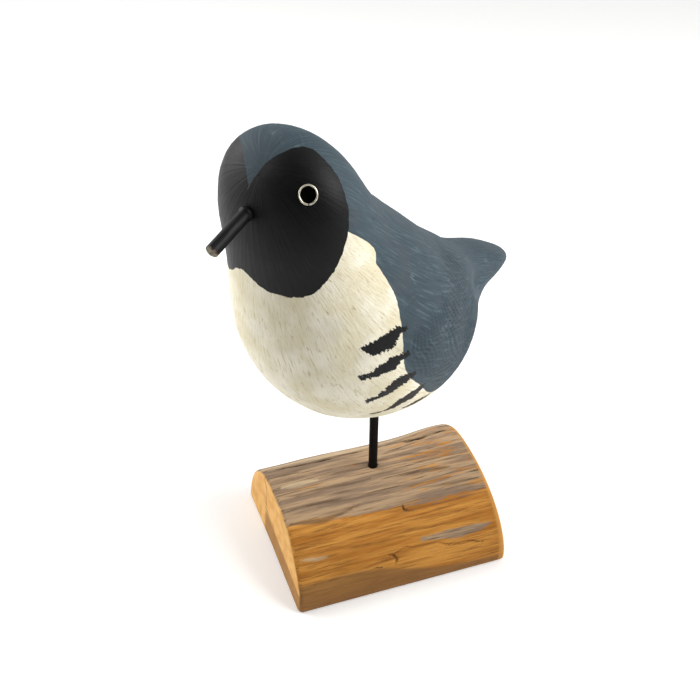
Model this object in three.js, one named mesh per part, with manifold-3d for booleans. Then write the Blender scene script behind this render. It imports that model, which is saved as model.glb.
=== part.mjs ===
// A carved and painted wooden songbird on a black rod, standing on a sawn piece of driftwood.
// Millimetres, +Z up. The bird looks along -Y and its left side is towards +X.
// The origin is on the table, under the rod.
import * as THREE from "three";
import { mergeVertices } from "three/addons/utils/BufferGeometryUtils.js";
import Module from "manifold-3d";

// The carving is one smooth body: torso, head, rump and tail run into each other.
// A tilt turns a form about X, a turn about Z, both in degrees.
const TORSO = { centre: [0, -12.6, 106], radii: [30, 37.6, 29.4], tilt: -57.9 };
const HEAD = { centre: [-2, -30.9, 153.9], radii: [16.2, 11.2, 14.2], turn: 4 };
const RUMP = { start: [0, 11.4, 90.5], end: [0, 39.2, 86.5], startRadius: 20.6, endRadius: 3.6 };
const TAIL = { centre: [-0.7, 50.2, 89.2], radii: [7.8, 13.9, 3], tilt: -21.6 };
const NECK_BLEND = 34.2;
const RUMP_BLEND = 19.6;
const TAIL_BLEND = 20;

// The line inside the bird, from the head to the tail, that its rings are set around.
const SPINE = { start: [0, -28, 151], middle: [0, 5, 113], end: [0, 56.7, 86.6] };
const BODY_RINGS = 44;
const CAP_RINGS = 8;
const RING_POINTS = 44;
const RAY_STEP = 1;
const RAY_REACH = 80;
const RAY_HALVINGS = 16;

// Places on the head are angles from its centre: azimuth from the way it faces, and elevation.
// The carver set the eyes by hand, so the right one sits lower and further back.
const EYES = [
  { name: "eye_ring_left", azimuth: 63, elevation: 26 },
  { name: "eye_ring_right", azimuth: -90, elevation: 5 },
];
const EYE_TUBE = { diameter: 4.5, wall: 0.42, proud: 0.2, recess: 3, seam: 0.3 };
const BEAK = { azimuth: 0, elevation: 0.5, heading: 9.5, slope: -12, diameter: 3.4, reach: 13.4 };
const BEAK_SOCKET = 8;
const BEAK_WEAR = 0.45;

const ROD = { diameter: 3, socket: 11 };
const BELLY_HEIGHT = 66.4;
const LOG_SOCKET_FLOOR = 8;
const FIT = 0.3;
const ROUND_SEGMENTS = 28;

// The driftwood is a split log. Its length runs along its own X, at an angle to the bird.
const LOG = { length: 74.5, middle: -2, front: 31.3, back: 23.6, crown: -2.2, height: 26.6 };
const LOG_HEADING = 59.8;
const FRONT_ROUNDNESS = 1.9;
const BACK_ROUNDNESS = 2.2;
const SAW_SKEW = 5.4;
const LEFT_SAW_LEAN = 6.5;
const EDGE_EASE = 1.4;
const LOG_STATIONS = 14;
const EASE_STEPS = 3;
const ARCH_POINTS = 28;
const SECTION_HEART = [-4, 10];
// Rises and hollows of the weathered back: place along and across the log, width and height.
const SWELLS = [
  { along: 27, across: 14, width: 11, rise: 2.4 },
  { along: 9, across: 16, width: 9, rise: -0.5 },
  { along: -20, across: -22, width: 12, rise: 0.6 },
];

const PAINT = { color: 0x56646f, roughness: 0.7, metalness: 0 };
const BLACK = { color: 0x16181a, roughness: 0.55, metalness: 0 };
const BRIGHT_METAL = { color: 0xd9d6c6, roughness: 0.3, metalness: 0.9 };
const DRIFTWOOD = { color: 0xb07f45, roughness: 0.75, metalness: 0 };

const UP = new THREE.Vector3(0, 0, 1);
const rad = THREE.MathUtils.degToRad;
const vec = (xyz) => new THREE.Vector3(...xyz);

const wasm = await Module();
wasm.setup();

// Joins and cuts of closed meshes.
function toSolid(geometry) {
  const bare = geometry.clone();
  bare.deleteAttribute("normal");
  bare.deleteAttribute("uv");
  const merged = mergeVertices(bare, 1e-4);
  const vertProperties = new Float32Array(merged.attributes.position.array);
  const triVerts = new Uint32Array(merged.index.array);
  return new wasm.Manifold(new wasm.Mesh({ numProp: 3, vertProperties, triVerts }));
}

function toGeometry(solid) {
  const { vertProperties, triVerts } = solid.getMesh();
  const geometry = new THREE.BufferGeometry();
  geometry.setAttribute("position", new THREE.BufferAttribute(vertProperties, 3));
  geometry.setIndex(new THREE.BufferAttribute(triVerts, 1));
  geometry.computeVertexNormals();
  return geometry;
}

function cutFrom(geometry, tools) {
  const cut = tools.reduce((solid, tool) => solid.subtract(toSolid(tool)), toSolid(geometry));
  return toGeometry(cut);
}

// A round bar from one point to another.
function bar(start, end, radius) {
  const along = end.clone().sub(start);
  const geometry = new THREE.CylinderGeometry(radius, radius, along.length(), ROUND_SEGMENTS);
  geometry.applyQuaternion(
    new THREE.Quaternion().setFromUnitVectors(new THREE.Vector3(0, 1, 0), along.normalize()),
  );
  return geometry.translate(...start.clone().add(end).multiplyScalar(0.5).toArray());
}

// Rings of points joined into one closed skin, with a single point past each end.
function skin(rings, firstPole, lastPole) {
  const count = rings[0].length;
  const points = [...rings.flat(), firstPole, lastPole];
  const index = [];
  const at = (ring, k) => ring * count + (k % count);
  const last = rings.length - 1;
  for (let k = 0; k < count; k++) {
    index.push(at(0, k), at(0, k + 1), points.length - 2);
    index.push(at(last, k + 1), at(last, k), points.length - 1);
    for (let ring = 0; ring < last; ring++) {
      index.push(at(ring, k), at(ring + 1, k), at(ring + 1, k + 1));
      index.push(at(ring, k), at(ring + 1, k + 1), at(ring, k + 1));
    }
  }
  const geometry = new THREE.BufferGeometry().setFromPoints(points);
  geometry.setIndex(index);
  return geometry;
}

// Fields that are negative inside a form and positive outside it.
function ellipsoidField({ centre, radii, tilt = 0, turn = 0 }) {
  const toLocal = new THREE.Matrix4()
    .makeRotationFromEuler(new THREE.Euler(rad(tilt), 0, rad(turn)))
    .setPosition(...centre)
    .invert();
  const size = vec(radii);
  return (point) => {
    const local = point.clone().applyMatrix4(toLocal).divide(size);
    const scaled = local.length();
    return (scaled * (scaled - 1)) / local.divide(size).length();
  };
}

function taperField({ start, end, startRadius, endRadius }) {
  const from = vec(start);
  const axis = vec(end).sub(from);
  const length = axis.length();
  axis.normalize();
  const narrowing = startRadius - endRadius;
  const slope = narrowing / Math.sqrt(length ** 2 - narrowing ** 2);
  return (point) => {
    const offset = point.clone().sub(from);
    const along = offset.dot(axis);
    const out = Math.sqrt(Math.max(offset.lengthSq() - along ** 2, 0));
    const share = THREE.MathUtils.clamp((along - out * slope) / length, 0, 1);
    return Math.hypot(out, along - share * length) - startRadius + share * narrowing;
  };
}

function blend(a, b, width) {
  const overlap = Math.max(width - Math.abs(a - b), 0) / width;
  return Math.min(a, b) - (overlap ** 2 * width) / 4;
}

const torso = ellipsoidField(TORSO);
const head = ellipsoidField(HEAD);
const rump = taperField(RUMP);
const tail = ellipsoidField(TAIL);

function birdField(point) {
  const front = blend(torso(point), head(point), NECK_BLEND);
  return blend(blend(front, rump(point), RUMP_BLEND), tail(point), TAIL_BLEND);
}

// How far a ray from inside the bird runs to its surface.
function reachOf(origin, direction) {
  const probe = (distance) => birdField(origin.clone().addScaledVector(direction, distance));
  let inside = 0;
  while (inside < RAY_REACH && probe(inside + RAY_STEP) < 0) inside += RAY_STEP;
  let outside = inside + RAY_STEP;
  for (let i = 0; i < RAY_HALVINGS; i++) {
    const middle = (inside + outside) / 2;
    if (probe(middle) < 0) inside = middle;
    else outside = middle;
  }
  return inside;
}

const onSurface = (origin, direction) =>
  origin.clone().addScaledVector(direction, reachOf(origin, direction));

// Rays leave each station of the spine around an ellipse of the local width and height,
// so the points keep an even spacing on the flat tail as well as on the round torso.
function birdGeometry() {
  const spine = new THREE.QuadraticBezierCurve3(
    vec(SPINE.start),
    vec(SPINE.middle),
    vec(SPINE.end),
  );
  const side = new THREE.Vector3(1, 0, 0);
  const station = (share) => {
    const origin = spine.getPoint(share);
    const along = spine.getTangent(share);
    const up = side.clone().cross(along);
    const span = (way) => reachOf(origin, way) + reachOf(origin, way.clone().negate());
    return { origin, along, up, width: span(side) / 2, height: span(up) / 2 };
  };
  const ring = ({ origin, along, up, width, height }, lift, reach) => {
    const points = [];
    for (let k = 0; k < RING_POINTS; k++) {
      const angle = (-2 * Math.PI * k) / RING_POINTS;
      const ray = new THREE.Vector3()
        .addScaledVector(side, Math.cos(lift) * Math.sin(angle) * width)
        .addScaledVector(up, Math.cos(lift) * Math.cos(angle) * height)
        .addScaledVector(along, Math.sin(lift) * reach)
        .normalize();
      points.push(onSurface(origin, ray));
    }
    return points;
  };
  const stations = Array.from({ length: BODY_RINGS }, (_, i) => station(i / (BODY_RINGS - 1)));
  const first = stations[0];
  const last = stations[BODY_RINGS - 1];
  const backwards = first.along.clone().negate();
  const headReach = reachOf(first.origin, backwards);
  const tailReach = reachOf(last.origin, last.along);
  const rings = stations.map((here) => ring(here, 0, 0));
  for (let i = 1; i <= CAP_RINGS; i++) {
    const lift = ((Math.PI / 2) * i) / (CAP_RINGS + 1);
    rings.unshift(ring(first, -lift, headReach));
    rings.push(ring(last, lift, tailReach));
  }
  return skin(rings, onSurface(first.origin, backwards), onSurface(last.origin, last.along));
}

// A level direction turned to the bird's left, with a rise, in degrees.
function headingVector(heading, rise) {
  const level = Math.cos(rad(rise));
  return new THREE.Vector3(
    level * Math.sin(rad(heading)),
    -level * Math.cos(rad(heading)),
    Math.sin(rad(rise)),
  );
}

const onHead = ({ azimuth, elevation }) =>
  onSurface(vec(HEAD.centre), headingVector(HEAD.turn + azimuth, elevation));

function surfaceNormal(point) {
  const step = 0.05;
  const slopeAlong = (x, y, z) => {
    const ahead = new THREE.Vector3(x, y, z).multiplyScalar(step);
    return birdField(point.clone().add(ahead)) - birdField(point.clone().sub(ahead));
  };
  return new THREE.Vector3(
    slopeAlong(1, 0, 0),
    slopeAlong(0, 1, 0),
    slopeAlong(0, 0, 1),
  ).normalize();
}

const beakRoot = onHead(BEAK);
const beakWay = headingVector(BEAK.heading, BEAK.slope);

function birdWithSockets() {
  const beakHole = bar(
    beakRoot.clone().addScaledVector(beakWay, -BEAK_SOCKET),
    beakRoot.clone().addScaledVector(beakWay, BEAK_SOCKET),
    BEAK.diameter / 2 + FIT,
  );
  const rodHole = bar(
    new THREE.Vector3(0, 0, BELLY_HEIGHT - ROD.socket),
    new THREE.Vector3(0, 0, BELLY_HEIGHT + ROD.socket),
    ROD.diameter / 2 + FIT,
  );
  const eyeHoles = EYES.map((eye) => {
    const centre = onHead(eye);
    const out = surfaceNormal(centre);
    return bar(
      centre.clone().addScaledVector(out, -EYE_TUBE.recess),
      centre.clone().addScaledVector(out, EYE_TUBE.recess),
      EYE_TUBE.diameter / 2 + FIT,
    );
  });
  return cutFrom(birdGeometry(), [beakHole, rodHole, ...eyeHoles]);
}

// A short tube rolled from strip, with an open seam at the bottom of the eye.
function eyeRingGeometry() {
  const outer = EYE_TUBE.diameter / 2;
  const inner = outer - EYE_TUBE.wall;
  const seam = EYE_TUBE.seam / 2;
  const strip = new THREE.Shape();
  const opening = (radius) => Math.asin(seam / radius);
  strip.absarc(0, 0, outer, opening(outer), 2 * Math.PI - opening(outer), false);
  strip.absarc(0, 0, inner, 2 * Math.PI - opening(inner), opening(inner), true);
  strip.closePath();
  const depth = EYE_TUBE.recess - FIT + EYE_TUBE.proud;
  const geometry = new THREE.ExtrudeGeometry(strip, {
    depth,
    bevelEnabled: false,
    curveSegments: ROUND_SEGMENTS,
  });
  return geometry.translate(0, 0, FIT - EYE_TUBE.recess);
}

// The beak is a cut stick with its end worn round.
function beakGeometry() {
  const radius = BEAK.diameter / 2;
  const start = FIT - BEAK_SOCKET;
  const wornPoints = new THREE.EllipseCurve(
    radius - BEAK_WEAR,
    BEAK.reach - BEAK_WEAR,
    BEAK_WEAR,
    BEAK_WEAR,
    0,
    Math.PI / 2,
  ).getPoints(4);
  const profile = [
    new THREE.Vector2(0, start),
    new THREE.Vector2(radius, start),
    ...wornPoints,
    new THREE.Vector2(0, BEAK.reach),
  ];
  return new THREE.LatheGeometry(profile, ROUND_SEGMENTS);
}

// One section of the log, from the front foot over the crown to the back foot.
// The feet are eased and the underside is flat.
function logSection() {
  const rise = LOG.height - EDGE_EASE;
  const points = [];
  const foot = (across, sign, angles) =>
    angles.map((angle) => [
      across - sign * EDGE_EASE * (1 - Math.cos(angle)),
      EDGE_EASE * (1 - Math.sin(angle)),
    ]);
  const quarter = Array.from({ length: EASE_STEPS }, (_, i) => rad((90 * (EASE_STEPS - i)) / EASE_STEPS));
  points.push(...foot(LOG.crown - LOG.front, -1, quarter));
  for (let i = 0; i <= ARCH_POINTS; i++) {
    const angle = (Math.PI * i) / ARCH_POINTS;
    const isFront = angle < Math.PI / 2;
    const reach = isFront ? LOG.front : LOG.back;
    const power = 2 / (isFront ? FRONT_ROUNDNESS : BACK_ROUNDNESS);
    const out = Math.abs(Math.cos(angle)) ** power * reach;
    const height = EDGE_EASE + rise * Math.sin(angle) ** power;
    points.push([LOG.crown + (isFront ? -out : out), height]);
  }
  points.push(...foot(LOG.crown + LOG.back, 1, quarter.slice().reverse()));
  return points;
}

function swellAt(along, across) {
  const bumps = SWELLS.map(({ along: x, across: y, width, rise }) => {
    const away = ((along - x) ** 2 + (across - y) ** 2) / width ** 2;
    return rise * Math.exp(-away);
  });
  return bumps.reduce((total, bump) => total + bump, 0);
}

// The saw cuts run across the log at a skew, and the left one also leans in towards the top.
function logGeometry() {
  const section = logSection();
  const [heartAcross, heartUp] = SECTION_HEART;
  const skew = Math.tan(rad(SAW_SKEW));
  const lean = Math.tan(rad(LEFT_SAW_LEAN));
  const ring = (share, inset, inwards) =>
    section.map(([across, up]) => {
      const fromHeart = Math.hypot(across - heartAcross, up - heartUp);
      const keep = 1 - inset / fromHeart;
      const y = heartAcross + (across - heartAcross) * keep;
      const z = heartUp + (up - heartUp) * keep;
      const left = LOG.middle - LOG.length / 2 + lean * z;
      const right = LOG.middle + LOG.length / 2;
      const x = THREE.MathUtils.lerp(left, right, share) + inwards - skew * y;
      return new THREE.Vector3(x, y, z + swellAt(x, y) * Math.max(z / LOG.height, 0));
    });
  const rings = [];
  for (let i = 0; i < EASE_STEPS; i++) {
    const angle = rad((90 * i) / EASE_STEPS);
    const inset = EDGE_EASE * (1 - Math.sin(angle));
    rings.push(ring(0, inset, EDGE_EASE * (1 - Math.cos(angle))));
  }
  for (let i = 0; i <= LOG_STATIONS; i++) {
    const inwards = EDGE_EASE * (1 - (2 * i) / LOG_STATIONS);
    rings.push(ring(i / LOG_STATIONS, 0, inwards));
  }
  for (let i = EASE_STEPS - 1; i >= 0; i--) {
    const angle = rad((90 * i) / EASE_STEPS);
    const inset = EDGE_EASE * (1 - Math.sin(angle));
    rings.push(ring(1, inset, -EDGE_EASE * (1 - Math.cos(angle))));
  }
  const heart = (endRing) => {
    const sum = endRing.reduce((total, point) => total.add(point), new THREE.Vector3());
    return sum.divideScalar(endRing.length);
  };
  return skin(rings, heart(rings[0]), heart(rings[rings.length - 1]));
}

function logWithSocket() {
  const hole = bar(
    new THREE.Vector3(0, 0, LOG_SOCKET_FLOOR),
    new THREE.Vector3(0, 0, LOG.height * 2),
    ROD.diameter / 2 + FIT,
  );
  return cutFrom(logGeometry(), [hole]);
}

function mesh(name, geometry, material) {
  const made = new THREE.Mesh(geometry, new THREE.MeshStandardMaterial(material));
  made.name = name;
  return made;
}

const songbird = new THREE.Group();

songbird.add(mesh("bird_body", birdWithSockets(), PAINT));

const beak = mesh("beak", beakGeometry(), BLACK);
beak.position.copy(beakRoot);
beak.quaternion.setFromUnitVectors(new THREE.Vector3(0, 1, 0), beakWay);
songbird.add(beak);

for (const eye of EYES) {
  const ring = mesh(eye.name, eyeRingGeometry(), BRIGHT_METAL);
  ring.position.copy(onHead(eye));
  // The ring faces out along its Z, and its seam, on its X, points down.
  const out = surfaceNormal(ring.position);
  const level = out.clone().cross(UP).normalize();
  const down = level.clone().cross(out).negate();
  ring.quaternion.setFromRotationMatrix(
    new THREE.Matrix4().makeBasis(down, out.clone().cross(down), out),
  );
  songbird.add(ring);
}

const rodTop = BELLY_HEIGHT + ROD.socket - FIT;
const rodStart = new THREE.Vector3(0, 0, LOG_SOCKET_FLOOR + FIT);
songbird.add(mesh("rod", bar(rodStart, new THREE.Vector3(0, 0, rodTop), ROD.diameter / 2), BLACK));

const driftwood = mesh("driftwood_base", logWithSocket(), DRIFTWOOD);
driftwood.rotation.z = rad(LOG_HEADING);
songbird.add(driftwood);

export default songbird;
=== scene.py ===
"""Looks of a carved and painted wooden songbird on a black rod and a driftwood base.

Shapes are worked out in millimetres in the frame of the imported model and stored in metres:
+Z is up, the bird looks along -Y and its left side is towards +X.
"""

import math

import bpy
import numpy as np
from mathutils import Matrix, Vector, noise


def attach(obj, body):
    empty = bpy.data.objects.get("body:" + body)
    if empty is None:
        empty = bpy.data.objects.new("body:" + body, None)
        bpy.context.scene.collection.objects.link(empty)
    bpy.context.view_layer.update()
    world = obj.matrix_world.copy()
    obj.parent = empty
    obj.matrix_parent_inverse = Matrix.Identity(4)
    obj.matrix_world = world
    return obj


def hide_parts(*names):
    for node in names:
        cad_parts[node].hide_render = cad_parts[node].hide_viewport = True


MM = 0.001
TINY = 1e-9

# The bird's form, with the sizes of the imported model

TORSO = {"centre": (0, -12.6, 106), "radii": (30, 37.6, 29.4), "tilt": -57.9}
HEAD_CENTRE = (-2, -30.9, 153.9)
HEAD_TURN = 4
HEAD = {"centre": HEAD_CENTRE, "radii": (16.2, 11.2, 14.2), "turn": HEAD_TURN}
RUMP = {"start": (0, 11.4, 90.5), "end": (0, 39.2, 86.5), "start_radius": 20.6, "end_radius": 3.6}
TAIL = {"centre": (-0.7, 50.2, 89.2), "radii": (7.8, 13.9, 3), "tilt": -21.6}
NECK_BLEND = 34.2
RUMP_BLEND = 19.6
TAIL_BLEND = 20
SPINE = ((0, -28, 151), (0, 5, 113), (0, 56.7, 86.6))

BODY_RINGS = 172
CAP_RINGS = 13
RING_POINTS = 480
RAY_REACH = 80
RAY_HALVINGS = 18
SKIN_INSET = 0.12

EYES = {"left": (63, 26), "right": (-90, 5)}
EYE = {"radius": 2.25, "wall": 0.42, "proud": 0.18, "recess": 2.4}
EYE_EGG = 0.03
EYE_SEAM = 5
BEAK = {"elevation": 0.5, "heading": 9.5, "slope": -12, "radius": 1.64, "reach": 13.05, "root": 5}
BEAK_WEAR = 0.45

# The bird's paint

# A cheek patch is drawn round a point of the head, given by azimuth and elevation: its reach
# there in degrees by clock angle, where 0 points to the back of the head and 90 to the crown.
LEFT_CHEEK = [
    (18, 48), (48, 59), (71, 67), (89, 62), (122, 54), (150, 51), (180, 53),
    (225, 61), (244, 65), (258, 58), (279, 51), (320, 43), (350, 43.5),
]
RIGHT_CHEEK = [
    (30, 47), (72, 42), (104, 52.3), (119, 54.7), (140, 60), (180, 63), (215, 66),
    (249, 60), (290, 52), (330, 50),
]
CHEEKS = [
    {"side": 1, "azimuth": 45, "elevation": 5, "outline": LEFT_CHEEK},
    {"side": -1, "azimuth": 62, "elevation": 0, "outline": RIGHT_CHEEK},
]
CHIN_BLEND = 9
CROWN_HEIGHT = 154
# The slate cape seen from the side: its reach from one point of the wing by clock angle, where
# 0 points to the breast and 90 down.
CAPE_CENTRE = (20, 120)
CAPE_OUTLINE = [
    (-180, 90), (-36, 90), (-31, 57), (-23.4, 47.7), (-16.5, 43.2), (-3, 41.4), (15.8, 43.1),
    (30.8, 41.4), (54.7, 42.4), (83, 39.3), (104, 38.5), (112, 42), (120, 60), (130, 90), (180, 90),
]
# Flank bars on the bird's left, each from the cape towards the breast, as (x, y, z, width).
# The right side has the same.
BARS = [
    [(27, -20.8, 121, 1.2), (26.3, -22.9, 121.3, 2), (26.2, -25.1, 119.7, 4),
     (24.7, -29.2, 118.8, 3.7), (23.2, -31.6, 119.5, 1)],
    [(28.4, -21, 113.6, 1.2), (28, -23.1, 113.4, 1.6), (27.4, -25.1, 112.6, 3.7),
     (25.8, -28.9, 111.2, 2.5), (24.7, -30.8, 110.1, 0.6), (23.7, -32.2, 110.2, 1.3)],
    [(29.2, -19.2, 105.4, 1.7), (28.1, -23.2, 105, 3.7), (26.9, -25.5, 102.7, 2.6),
     (25, -28.1, 100.5, 0.9), (23.6, -29.8, 99.8, 1.5)],
    [(28.8, -14, 97, 2), (27.7, -17.2, 94.8, 5), (26.6, -20, 93.9, 3.8),
     (25, -21.8, 91.8, 2.5), (23.9, -22.9, 90.8, 0.2), (21.6, -25.9, 90.1, 0.8)],
    [(25.8, -7.7, 85.8, 1.8), (25.4, -12.6, 86.9, 2.4), (24.4, -15.8, 86.5, 0.9)],
]

BAR_SPREAD = 0.35

# The wing's carved lines: a fan from the shoulder that closes again towards the wing tip

FAN_CENTRE = (-9, 142)
FAN_PITCH = 2.9
FAN_CLOSING = {"angle": 25, "start": 30, "length": 42, "most": 0.6}
GROOVE_DEPTH = 0.42

# The driftwood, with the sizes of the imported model. Its length runs along its own X

LOG = {"length": 73.8, "middle": -2, "front": 31, "back": 23.2, "crown": -2.2, "height": 26.6}
LOG_HEADING = 59.8
FRONT_ROUNDNESS = 1.9
BACK_ROUNDNESS = 2.2
SAW_SKEW = 5.4
LEFT_SAW_LEAN = 6.5
EDGE_EASE = 1.4
SECTION_HEART = (-4, 10)
SWELLS = [(27, 14, 11, 2.4), (9, 16, 9, -0.5), (-20, -22, 12, 0.6)]
LOG_RINGS = 216
LOG_EASE_RINGS = 6
LOG_END_RINGS = 14
ARCH_POINTS = 244
UNDERSIDE_POINTS = 44

# Cracks, as paths along, across and up the log.
CRACKS = [
    {
        "path": [(-37, 10, 23.6), (-16.7, 8.4, 24.5), (9.6, 9.6, 23.8), (19.9, 7, 26), (34, 8, 26)],
        "width": 1.1,
        "depth": 1.2,
    },
    {
        "path": [(-5.7, -28.2, 14.7), (-2.4, -28.9, 13.8), (-0.6, -30, 12.2), (-2.3, -30.9, 10.7)],
        "width": 0.9,
        "depth": 0.8,
    },
    {
        "path": [(-2.4, -28.9, 13.8), (3.2, -27.9, 15.1), (19.9, -29.6, 12.7), (30, -30.6, 11.2)],
        "width": 0.6,
        "depth": 0.5,
    },
    {
        "path": [(-33, -30.1, 12.2), (-24.3, -30.6, 11.3), (-2.3, -30.9, 10.7)],
        "width": 0.5,
        "depth": 0.35,
    },
    {"path": [(4.8, -16.1, 23.6), (5.1, -18.4, 22.5), (9, -19.5, 21.9)], "width": 0.6, "depth": 0.4},
]
# Soft stains of the weather, dark and pale, as paths with a width.
DARK_STAINS = [
    ([(-34, -3.6, 26.5), (-20, -5.2, 26.5), (-3, -4.8, 26.5)], 1.3),
    ([(7.6, -6.8, 26.2), (18.2, -7.6, 26.1), (29.2, -7.7, 26.1)], 1.2),
    ([(-33, -14.4, 24.4), (-23, -15.4, 24.1), (-12, -14.6, 24.3)], 1.8),
    ([(-6, 2, 26.6), (10, 1, 26.6), (24, -1, 27.4)], 1.2),
    ([(-30, -9.6, 25.6), (-14, -10.6, 25.6), (2, -12, 25.2)], 1.1),
    ([(12, -13, 24.9), (24, -14.2, 24.6), (33, -14, 24.8)], 1.5),
]
PALE_STAINS = [
    ([(-32.5, -24.8, 18.3), (-26.8, -25.5, 17.8), (-21.7, -25.2, 18.1)], 1.5),
    ([(-32, -0.5, 26.6), (-20, -1, 26.6)], 1.6),
    ([(-38, 12.4, 21.6), (0, 12, 22), (34, 12.5, 24)], 3.4),
]
GREY_STREAK = ([(9, -27.4, 16.4), (22, -27.8, 15.8), (36, -27.6, 16)], 3.8)
END_CHECK = [(-36.1, 7.7, 24.7), (-37.2, 4, 21.3), (-38, 3.4, 12), (-37.6, -6, 10.6)]

ROD_RADIUS = 1.5
ROD_BOTTOM = 9
ROD_TOP = 72
ROD_HOLE = 1.64


def radians(degrees):
    return np.radians(degrees)


def smooth_step(values, low, high):
    share = np.clip((values - low) / (high - low), 0, 1)
    return share * share * (3 - 2 * share)


def length_of(vectors):
    return np.sqrt((vectors * vectors).sum(-1))


def unit(vectors):
    return vectors / np.maximum(length_of(vectors), TINY)[..., None]


def curve_value(knots, at):
    """A smooth curve through (place, value) knots, read at the given places."""
    places, values = np.array(knots, float).T
    slopes = np.gradient(values, places)
    k = np.clip(np.searchsorted(places, at) - 1, 0, len(places) - 2)
    span = places[k + 1] - places[k]
    t = np.clip((at - places[k]) / span, 0, 1)
    rise = values[k + 1] - values[k]
    eased = t * t * (3 - 2 * t)
    lead = t * (1 - t) * ((1 - t) * slopes[k] - t * slopes[k + 1]) * span
    return values[k] + rise * eased + lead


def path_distance(points, path):
    """The distance from each point to a path, and how far along the path that is, from 0 to 1."""
    path = np.array(path, float)
    best = np.full(len(points), np.inf)
    share = np.zeros(len(points))
    pieces = len(path) - 1
    for i in range(pieces):
        way = path[i + 1] - path[i]
        along = np.clip(((points - path[i]) @ way) / (way @ way), 0, 1)
        away = length_of(points - path[i] - along[:, None] * way)
        nearer = away < best
        best = np.where(nearer, away, best)
        share = np.where(nearer, (i + along) / pieces, share)
    return best, share


def roughness_at(points, size, seed):
    """Smooth noise from -1 to 1 at each point. Size is one length, or one for each axis."""
    scaled = points / np.array(size, float) + np.array((17.3, 5.9, 31.7)) * seed
    return np.array([noise.noise(Vector(p)) for p in scaled])


# Mesh helpers


def closed_skin(rings, first_pole, last_pole):
    """Points and faces of rings joined into one skin, with a single point past each end."""
    count, around = rings.shape[:2]
    grid = np.arange(count * around).reshape(count, around)
    beside = np.roll(grid, -1, axis=1)
    quads = np.stack([grid[:-1], grid[1:], beside[1:], beside[:-1]], -1).reshape(-1, 4)
    first, last = count * around, count * around + 1
    faces = quads.tolist()
    faces += [(int(a), int(b), first) for a, b in zip(grid[0], beside[0])]
    faces += [(int(b), int(a), last) for a, b in zip(grid[-1], beside[-1])]
    points = np.vstack([rings.reshape(-1, 3), first_pole, last_pole])
    return points, faces


def new_piece(name, points, faces, matrix=None):
    mesh = bpy.data.meshes.new(name)
    mesh.from_pydata((np.asarray(points) * MM).tolist(), [], faces)
    mesh.validate()
    mesh.shade_smooth()
    piece = bpy.data.objects.new(name, mesh)
    bpy.context.scene.collection.objects.link(piece)
    if matrix is not None:
        piece.matrix_world = matrix
    return piece


def read_points(mesh):
    flat = np.zeros(len(mesh.vertices) * 3, np.float32)
    mesh.vertices.foreach_get("co", flat)
    return flat.reshape(-1, 3).astype(float) / MM


def read_normals(mesh):
    flat = np.zeros(len(mesh.vertices) * 3, np.float32)
    mesh.vertex_normals.foreach_get("vector", flat)
    return flat.reshape(-1, 3).astype(float)


def push_out(mesh, amounts):
    """Moves each vertex along its normal by its own amount in millimetres."""
    moved = read_points(mesh) + read_normals(mesh) * amounts[:, None]
    mesh.vertices.foreach_set("co", (moved * MM).astype(np.float32).ravel())
    mesh.update()


def store(mesh, name, values):
    values = np.asarray(values, np.float32)
    is_vector = values.ndim == 2
    kind = "FLOAT_VECTOR" if is_vector else "FLOAT"
    attribute = mesh.attributes.new(name, kind, "POINT")
    attribute.data.foreach_set("vector" if is_vector else "value", values.ravel())


def cut_with(piece, cutters):
    """Cuts the closed cutters out of the piece and removes them."""
    for cutter in cutters:
        modifier = piece.modifiers.new("cut", "BOOLEAN")
        modifier.operation = "DIFFERENCE"
        modifier.solver = "MANIFOLD"
        modifier.object = cutter
    shown = piece.evaluated_get(bpy.context.evaluated_depsgraph_get())
    made = bpy.data.meshes.new_from_object(shown)
    piece.modifiers.clear()
    piece.data = made
    for cutter in cutters:
        bpy.data.objects.remove(cutter)
    made.set_sharp_from_angle(angle=math.radians(38))


def tube_rings(stations, around, radius_at):
    """Rings round the Z axis: one for each (height, radius), shaped by radius_at(angles)."""
    angles = np.linspace(0, 2 * np.pi, around, endpoint=False)
    shape = radius_at(angles)
    rings = [
        np.stack([shape * radius * np.cos(angles), shape * radius * np.sin(angles), np.full(around, z)], -1)
        for z, radius in stations
    ]
    return np.array(rings)


def round_bar(name, stations, around, matrix, radius_at=np.ones_like):
    rings = tube_rings(stations, around, radius_at)
    bottom, top = (0, 0, stations[0][0]), (0, 0, stations[-1][0])
    points, faces = closed_skin(rings, bottom, top)
    return new_piece(name, points, [face[::-1] for face in faces], matrix)


def standing_on(origin, out, down=None):
    """A placing with its Z along out and, if down is given, its X as near to down as it can be."""
    z = Vector(out).normalized()
    x = Vector(down) if down else z.orthogonal()
    x = (x - z * x.dot(z)).normalized()
    turn = Matrix((x, z.cross(x), z)).transposed().to_4x4()
    return Matrix.Translation(Vector(origin) * MM) @ turn


# The bird's form


def ellipsoid_field(points, centre, radii, tilt=0, turn=0):
    turned = Matrix.Rotation(radians(tilt), 3, "X") @ Matrix.Rotation(radians(turn), 3, "Z")
    scaled = (points - np.array(centre)) @ np.array(turned) / radii
    near = length_of(scaled)
    return near * (near - 1) / np.maximum(length_of(scaled / radii), TINY)


def taper_field(points, start, end, start_radius, end_radius):
    offset = points - np.array(start, float)
    axis = np.array(end, float) - start
    length = length_of(axis)
    narrowing = start_radius - end_radius
    along = offset @ (axis / length)
    out = np.sqrt(np.maximum((offset * offset).sum(-1) - along**2, 0))
    slope = narrowing / math.sqrt(length**2 - narrowing**2)
    share = np.clip((along - out * slope) / length, 0, 1)
    return np.hypot(out, along - share * length) - start_radius + share * narrowing


def blend(a, b, width):
    overlap = np.maximum(width - np.abs(a - b), 0) / width
    return np.minimum(a, b) - overlap**2 * width / 4


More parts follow.
